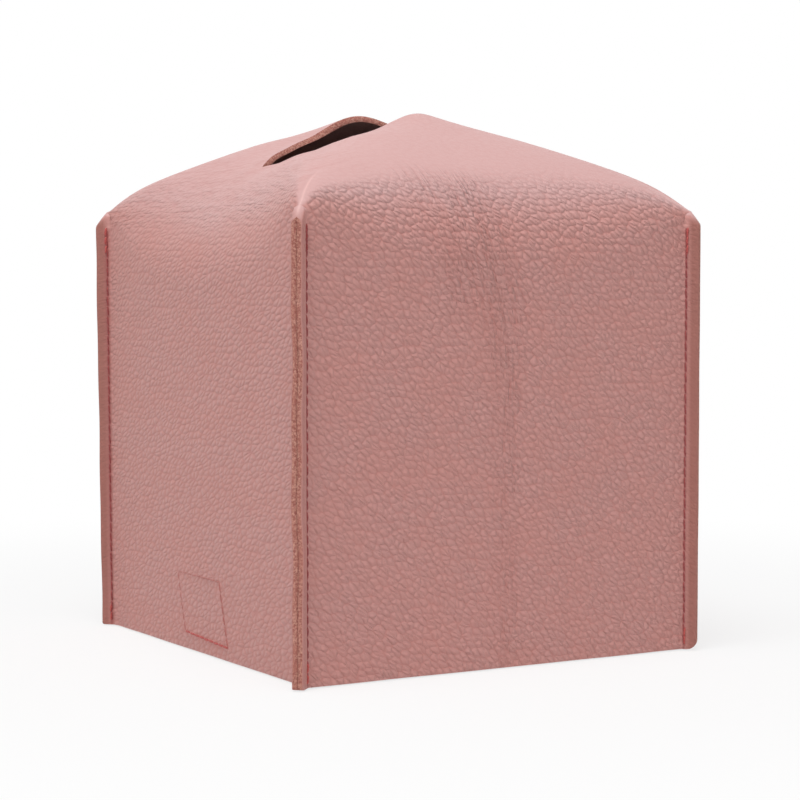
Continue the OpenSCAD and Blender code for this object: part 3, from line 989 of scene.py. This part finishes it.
# A hook's bent wire as shares of its height: sideways and up
HOOK_SHARES = ((0, 0), (0, 0.45), (0.05, 0.75), (0.2, 0.95), (0.42, 0.97), (0.58, 0.8), (0.6, 0.58))
LOOP_R = 0.055 * MM
LOOP_COUNT = 520
# How far the foot of the belt's box stitch is to the front, and lower there
BOX_ASKEW = 3.2 * MM
BOX_LOWER = 1.2 * MM


def strap_stations(anchor_top, fold_z, anchor_out, tip_out):
    """Centreline of a strap as (distance out, height) with its outer normal,
    from the anchor's top round the bend to the tip."""
    bend_z = fold_z + STRAP_BEND_R
    bend_out = anchor_out - STRAP_BEND_R
    down = np.concatenate([anchor_top - END_STEPS, np.linspace(anchor_top - END_REACH, bend_z, 18)])
    turns = np.radians(np.linspace(0, 90, 12))[1:-1]
    along = np.concatenate([np.linspace(bend_out, tip_out + END_REACH, 90), tip_out + END_STEPS[::-1]])
    out = np.concatenate([np.full(len(down), anchor_out), bend_out + STRAP_BEND_R * np.cos(turns), along])
    z = np.concatenate([down, bend_z - STRAP_BEND_R * np.sin(turns), np.full(len(along), fold_z)])
    tilt = np.concatenate([np.zeros(len(down)), turns, np.full(len(along), pi / 2)])
    return out, z, np.cos(tilt), -np.sin(tilt)


def strap_ring(length, half_width):
    """Points round a strap's section at each station: (place across, height)."""
    def pull(start_r, end_r):
        return corner_pull(length, start_r) + corner_pull(length[-1] - length, end_r)

    wide = half_width - pull(ANCHOR_CORNER_R, TIP_R)
    thick = LEATHER / 2 - pull(EDGE_ROUND, EDGE_ROUND)
    face = [(share * (wide - EDGE_ROUND), thick) for share in np.linspace(-1, 1, STRAP_COLUMNS)]
    rim = [(wide - EDGE_ROUND * (1 - sin(turn)), thick - EDGE_ROUND * (1 - cos(turn)))
           for turn in np.radians(STRAP_EDGE_TURNS)]
    right = rim + [(y, -t) for y, t in rim[::-1]]
    left = [(-y, -t) for y, t in right]
    return face + right + [(y, -t) for y, t in face[::-1]] + left


def make_strap(name, side, material, nodes):
    """A strap with its sewn-in anchor, as one bent strip of leather."""
    anchor_low, anchor_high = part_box(nodes[0])
    strap_low, strap_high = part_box(nodes[1])
    anchor_out = abs(anchor_low.x + anchor_high.x) / 2
    fold_z = (strap_low.z + strap_high.z) / 2
    tip_out = -strap_high.x if side < 0 else strap_low.x
    out, z, normal_out, normal_z = strap_stations(anchor_high.z, fold_z, anchor_out, tip_out)
    length = np.concatenate([[0], np.cumsum(np.hypot(np.diff(out), np.diff(z)))])
    ring = strap_ring(length, (strap_high.y - strap_low.y) / 2)
    points = [places(side * (out + normal_out * t), y, z + normal_z * t) for y, t in ring]
    sheet = Sheet()
    numbers = sheet.grid(np.array(points), np.array([places(length, y, t) for y, t in ring]))
    under_from = STRAP_COLUMNS + STRAP_EDGE_POINTS
    under_end = under_from + STRAP_COLUMNS
    slots = np.full(len(ring), BARE)
    slots[:STRAP_COLUMNS - 1] = GRAIN_SIDE
    slots[under_from:under_end - 1] = SUEDE
    sheet.quads(numbers, slots[:, None], closed=True)
    for end in (numbers[:, 0].tolist(), numbers[:, -1].tolist()):
        upper = end[:STRAP_COLUMNS]
        under = end[under_from:under_end][::-1]
        for quad in zip(upper, upper[1:], under[1:], under):
            sheet.face(quad, BARE)
        sheet.face(end[STRAP_COLUMNS - 1:under_from + 1], BARE)
        sheet.face(end[under_end - 1:] + end[:1], BARE)
    sheet.settle()
    piece = sheet.build(name, [material, bare_edge, suede])
    for noted, value in STRAP_GRAIN.items():
        note(piece.data, noted, np.full(len(piece.data.vertices), value))
    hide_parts(*nodes)
    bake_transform(piece)


def tape_slab(sheet, low, high, bottom, thick):
    """A tape patch's woven base with softly rounded corners and edges."""
    centre = (low + high) / 2
    half_x, half_y = (high.x - low.x) / 2, (high.y - low.y) / 2
    ring = []
    for quarter, (sx, sy) in enumerate(((1, 1), (-1, 1), (-1, -1), (1, -1))):
        for turn in np.radians(np.linspace(0, 90, 5) + 90 * quarter):
            ring.append((sx * (half_x - TAPE_CORNER_R) + TAPE_CORNER_R * cos(turn),
                         sy * (half_y - TAPE_CORNER_R) + TAPE_CORNER_R * sin(turn)))
    numbers = []
    for inset, level in TAPE_LEVELS:
        flat = np.array(ring) * (1 - inset / half_x)
        points = places(flat[:, 0] + centre.x, flat[:, 1], bottom + thick * level)
        numbers.append(sheet.grid(points[None], points[None])[0])
    numbers = np.array(numbers)
    sheet.quads(np.column_stack([numbers, numbers[:, :1]]), 0)
    for cap in (numbers[0], numbers[-1]):
        sheet.face(cap.tolist(), 0)


def make_tape(name, body, facing, materials, pile):
    """A tape patch: its base, and hooks or loops on it as fine curved wires."""
    low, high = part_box(name)
    under = low.z if facing > 0 else high.z
    sheet = Sheet()
    tape_slab(sheet, low, high, under, facing * TAPE_BASE)
    tubes = Tubes()
    pile(tubes, low, high, under + facing * TAPE_BASE * 0.9, facing)
    sheet.points.append(np.array(tubes.points))
    sheet.coords.append(np.array(tubes.points))
    for face in tubes.faces:
        sheet.face((sheet.count + n for n in face), 1)
    piece = sheet.build(name + "_tape", materials, weld=1e-8)
    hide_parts(name)
    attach(piece, body)


def hook_pile(tubes, low, high, face, facing):
    """Rows of stiff little hooks that lean by turns to either side."""
    height = high.z - low.z - TAPE_BASE
    rows = np.arange(low.x + TAPE_MARGIN + 0.5 * MM, high.x - TAPE_MARGIN - 0.3 * MM, HOOK_PITCH)
    columns = np.arange(low.y + TAPE_MARGIN + 0.7 * MM, high.y - TAPE_MARGIN - 0.5 * MM, HOOK_PITCH)
    for i, x in enumerate(rows):
        lean = 1 if i % 2 else -1
        for y in columns:
            path = [(x, y + lean * (reach - 0.3) * height, face + facing * up * height)
                    for reach, up in HOOK_SHARES]
            tubes.wire(path, HOOK_R)


def loop_pile(tubes, low, high, face, facing):
    """A dense nap of thin loops that lean every way."""
    chance = random.Random("loops")
    height = high.z - low.z - TAPE_BASE
    inset = TAPE_MARGIN + 0.5 * MM
    for _ in range(LOOP_COUNT):
        x = chance.uniform(low.x + inset, high.x - inset)
        y = chance.uniform(low.y + inset, high.y - inset)
        turn = chance.uniform(0, pi)
        half = chance.uniform(0.25, 0.5) * MM
        top = height * chance.uniform(0.6, 0.98)
        path = []
        for angle in np.linspace(0, pi, 8):
            side = half * cos(angle)
            path.append((x + side * cos(turn), y + side * sin(turn),
                         face + facing * (top * sin(angle) ** 0.8 - 0.02 * MM)))
        tubes.wire(path, LOOP_R)


def box_stitches(name, body, corners, normal, radius, lift, bold_sides=()):
    """A sewn rectangle: stitches from corner to corner on one face. The bold
    sides are sewn twice over."""
    chance = random.Random(f"{name}_thread")
    tubes = Tubes()
    corners = [np.array(corner) for corner in corners]
    for side, (first, last) in enumerate(zip(corners, corners[1:] + corners[:1])):
        count = max(1, round(np.linalg.norm(last - first) / STITCH))
        bold = side in bold_sides
        for k in range(count):
            low = first + (last - first) * k / count
            high = first + (last - first) * (k + 1) / count
            # The bold sides take the brighter painted-light copy of the seam thread
            stitch(tubes, low, high, normal, chance, BOLD_LIFT * lift if bold else lift, 0.2 * MM, 0.05 * MM,
                   BOLD_RADIUS * radius if bold else radius, slot=int(bold))
    sewn_piece(tubes, name, body, box_thread)


def sew_anchor(name, side, kind, facing):
    """One thread of the box stitch that holds a strap's anchor on its wall."""
    sewn = f"{name}_anchor_{kind}"
    low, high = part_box(f"{sewn}_thread")
    out = HALF_W if kind == "needle" else HALF_W - 2 * LEATHER - 0.02 * MM
    y0, y1 = low.y + THREAD_R, high.y - THREAD_R
    z0, z1 = low.z + THREAD_R, high.z - THREAD_R
    corners = [(side * out, y, z) for y, z in ((y0, z0), (y1, z0), (y1, z1), (y0, z1))]
    if side < 0 and kind == "needle":
        corners[0] = (side * out, y0 - BOX_ASKEW, z0 - BOX_LOWER)
        corners[1] = (side * out, y1 - BOX_ASKEW, z0)
    box_stitches(sewn, "cover", corners, (side * facing, 0, 0), 0.23 * MM, 0.03 * MM, bold_sides=(0,))


def sew_patch(patch, body, facing):
    """The two threads that sew a tape patch to its strap."""
    patch_low, patch_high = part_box(patch)
    strap_low, strap_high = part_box(f"{body}_strap")
    inset = TAPE_MARGIN / 2
    x0, x1 = patch_low.x + inset, patch_high.x - inset
    y0, y1 = patch_low.y + inset, patch_high.y - inset
    tape_z = (patch_low.z if facing > 0 else patch_high.z) + facing * TAPE_BASE
    strap_z = strap_low.z if facing > 0 else strap_high.z
    for kind, z, way in (("needle", tape_z, facing), ("bobbin", strap_z, -facing)):
        corners = [(x0, y0, z), (x1, y0, z), (x1, y1, z), (x0, y1, z)]
        box_stitches(f"{patch}_{kind}", body, corners, (0, 0, way), 0.22 * MM, 0.08 * MM)


def make_straps():
    for name, side in (("belt", -1), ("tab", 1)):
        make_strap(f"{name}_with_anchor", side, belt_leather, (f"{name}_anchor", f"{name}_strap"))
        sew_anchor(name, side, "needle", 1)
        sew_anchor(name, side, "bobbin", -1)
    make_tape("hook_patch", "belt", 1, [hook_tape, hook_wire], hook_pile)
    make_tape("loop_patch", "tab", -1, [loop_tape, loop_yarn], loop_pile)
    sew_patch("hook_patch", "belt", 1)
    sew_patch("loop_patch", "tab", -1)


def make_floor():
    """A white floor that glows where it is seen, and less so round the cover.
    From below it is clear, so that the straps can be seen."""
    bpy.ops.mesh.primitive_plane_add(size=8, location=(0, 0, -0.4 * MM))
    floor = bpy.context.object
    floor.name = "floor"
    paint = Finish("floor_paint", Base_Color=(0.86, 0.86, 0.86, 1), Roughness=0.9)
    place = paint.add("TexCoord").outputs["Object"]
    away = paint.add("VectorMath", {0: place}, operation="LENGTH").outputs["Value"]
    share = paint.times(paint.seen(), paint.ranged(away, 0.12, 0.36, 0.74, 1.0))
    glow = paint.add("Emission", {"Color": (1, 1, 1, 1), "Strength": 1.0}).outputs[0]
    above = paint.mixed_shaders(share, paint.shader.outputs[0], glow)
    clear = paint.add("BsdfTransparent").outputs[0]
    from_below = paint.add("NewGeometry").outputs["Backfacing"]
    surface = paint.mixed_shaders(from_below, above, clear)
    paint.join(paint.tree.nodes["Material Output"].inputs["Surface"], surface)
    floor.data.materials.append(paint.material)


def make_lamp(name, size, power, place):
    """A soft square lamp that shines at the middle of the cover."""
    data = bpy.data.lights.new(name, "AREA")
    data.shape = "SQUARE"
    data.size = size
    data.energy = power
    lamp = add_object(name, data)
    lamp.location = place
    lamp.rotation_mode = "QUATERNION"
    lamp.rotation_quaternion = (Vector((0, 0, 0.08)) - Vector(place)).to_track_quat("-Z", "Y")


def make_studio():
    """White floor and world, one wide soft lamp above and two weak ones. The
    world lights the cover less brightly than it is seen."""
    make_floor()
    world = bpy.data.worlds.new("studio")
    bpy.context.scene.world = world
    world.use_nodes = True
    sky = Nodes(world.node_tree)
    background = sky.tree.nodes["Background"]
    sky.join(background.inputs["Color"], (1, 1, 1, 1))
    sky.join(background.inputs["Strength"], sky.ranged(sky.seen(), 0.0, 1.0, 0.4, 1.0))
    make_lamp("above", 0.7, 10.8, (-0.33, -0.28, 1.22))
    make_lamp("left", 1.0, 0.6, (-1.5, 0.1, 0.7))
    make_lamp("front", 1.0, 1.35, (0.3, -1.6, 0.6))


# The photo's camera, in its pixels, metres and degrees
PHOTO_PX = 800
FOCAL_PX = 2317.5
SENSOR_MM = 36
CAMERA_PLACE = (-0.34131, -0.59515, 0.11176)
CAMERA_DOWN = 3.449
CAMERA_TURN = -30.09


def make_camera():
    data = bpy.data.cameras.new("camera")
    data.sensor_width = SENSOR_MM
    data.lens = SENSOR_MM * FOCAL_PX / PHOTO_PX
    camera = add_object("camera", data)
    camera.location = CAMERA_PLACE
    camera.rotation_euler = (radians(90 - CAMERA_DOWN), 0, radians(CAMERA_TURN))
    bpy.context.scene.camera = camera


make_camera()
make_studio()
make_cover()
make_seams()
make_straps()

bpy.context.scene.view_settings.view_transform = "Standard"
